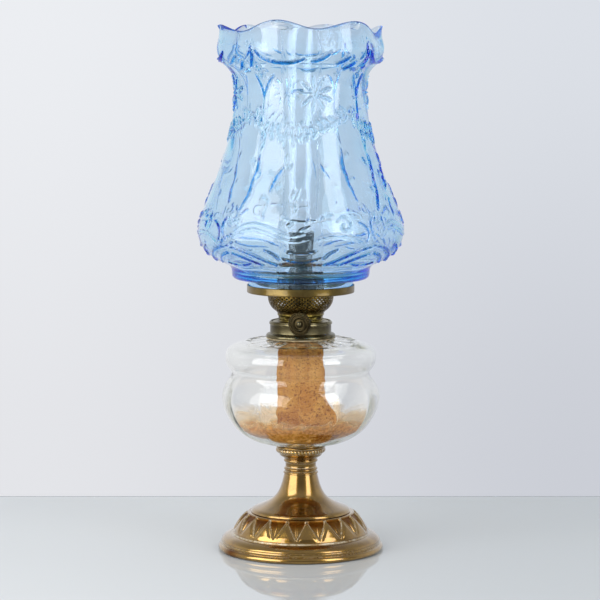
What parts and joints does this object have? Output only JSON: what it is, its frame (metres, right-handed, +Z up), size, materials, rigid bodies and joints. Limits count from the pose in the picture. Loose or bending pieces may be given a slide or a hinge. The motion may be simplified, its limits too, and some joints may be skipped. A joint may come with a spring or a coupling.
{
  "type": "kerosene table lamp",
  "caption": "Kerosene table lamp with a brass foot and stem, clear glass fount, thumb-wheel burner, glass chimney and a tall fluted blue glass shade with a wavy mouth.",
  "frame": {"origin": "middle of the foot's flat underside, on the lamp's axis", "axes": "+Z up along the lamp's axis; the thumb wheel points towards -Y"},
  "size_m": [0.195, 0.195, 0.4987],
  "materials": {
    "brass": "aged polished brass",
    "dark_brass": "darkened bronzed brass",
    "nickel": "dull worn nickel plate",
    "clear_glass": "clear, lightly tinted",
    "blue_glass": "clear sky blue",
    "plaster": "set plaster",
    "cast_iron": "rough",
    "steel": "plain",
    "cork": "pressed cork",
    "cotton": "woven, soaked with oil"
  },
  "bodies": {
    "stand": {"foot_shell": "brass", "foot_filling": "cast_iron", "base_washer": "steel", "base_nut": "steel", "tie_rod": "steel", "stem_trumpet": "brass", "stem_knop": "brass", "fount_cup": "brass", "cup_nut": "steel", "fount_cement": "plaster", "fount_glass": "clear_glass", "collar_cement": "plaster", "collar": "nickel"},
    "seal": {"burner_seal": "cork"},
    "burner": {"burner_neck": "brass", "burner_floor": "dark_brass", "air_basket": "dark_brass", "chimney_gallery": "dark_brass", "wick_tube": "dark_brass", "draught_tube": "dark_brass", "spindle_bush": "brass"},
    "raiser": {"spindle": "steel", "spur_wheel_front": "brass", "spur_wheel_rear": "brass", "thumb_wheel": "nickel", "wheel_rivet": "nickel"},
    "wick": {"wick": "cotton"},
    "ring": {"shade_ring": "brass"},
    "shade": {"shade": "blue_glass"},
    "chimney": {"chimney": "clear_glass"}
  },
  "joints": [
    {"name": "burner_rise", "type": "slide", "parent": "stand", "child": "seal", "axis": [0, 0, 1], "range_m": [0, 0.00605]},
    {"name": "burner_turn", "type": "hinge", "parent": "seal", "child": "burner", "pos_m": [0, 0, 0.2156], "axis": [0, 0, 1], "range_deg": [0, 1080]},
    {"name": "wheel_turn", "type": "hinge", "parent": "burner", "child": "raiser", "pos_m": [0.01397, 0, 0.2194], "axis": [0, 1, 0], "range_deg": [-52, 156]},
    {"name": "wick_lift", "type": "slide", "parent": "burner", "child": "wick", "axis": [0, 0, 1], "range_m": [-0.003, 0.009]},
    {"name": "ring_lift", "type": "slide", "parent": "burner", "child": "ring", "axis": [0, 0, 1], "range_m": [0, 0.26]},
    {"name": "shade_lift", "type": "slide", "parent": "ring", "child": "shade", "axis": [0, 0, 1], "range_m": [0, 0.26]},
    {"name": "chimney_lift", "type": "slide", "parent": "burner", "child": "chimney", "axis": [0, 0, 1], "range_m": [0, 0.26]}
  ],
  "couplings": [
    {"joint": "burner_rise", "follows": "burner_turn", "m_per_rad": 0.0003183},
    {"joint": "wick_lift", "follows": "wheel_turn", "m_per_rad": 0.0033}
  ]
}
